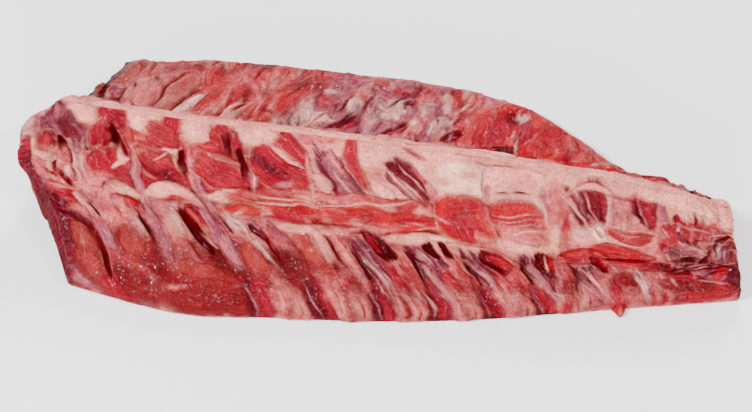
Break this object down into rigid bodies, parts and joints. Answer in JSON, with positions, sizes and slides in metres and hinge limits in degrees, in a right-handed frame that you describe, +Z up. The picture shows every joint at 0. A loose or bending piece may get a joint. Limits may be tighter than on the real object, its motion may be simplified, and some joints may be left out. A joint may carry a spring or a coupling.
{
  "type": "raw rack of ribs",
  "caption": "Raw pork backbone with short-cut ribs on both sides, lying crest up on its sawn vertebrae and rib edges.",
  "frame": {"origin": "centre of the piece's bounding box, on the plane that it rests on", "axes": "+X along the backbone from the shoulder end to the loin end, +Y towards the far row of ribs, +Z up"},
  "size_m": [0.4448, 0.1856, 0.0845],
  "materials": {
    "raw_pork": "wet fresh pork: deep red muscle, cream-pink fat, lilac rib skin and pale bone"
  },
  "bodies": {
    "root": {"rack": "raw_pork"}
  },
  "joints": []
}
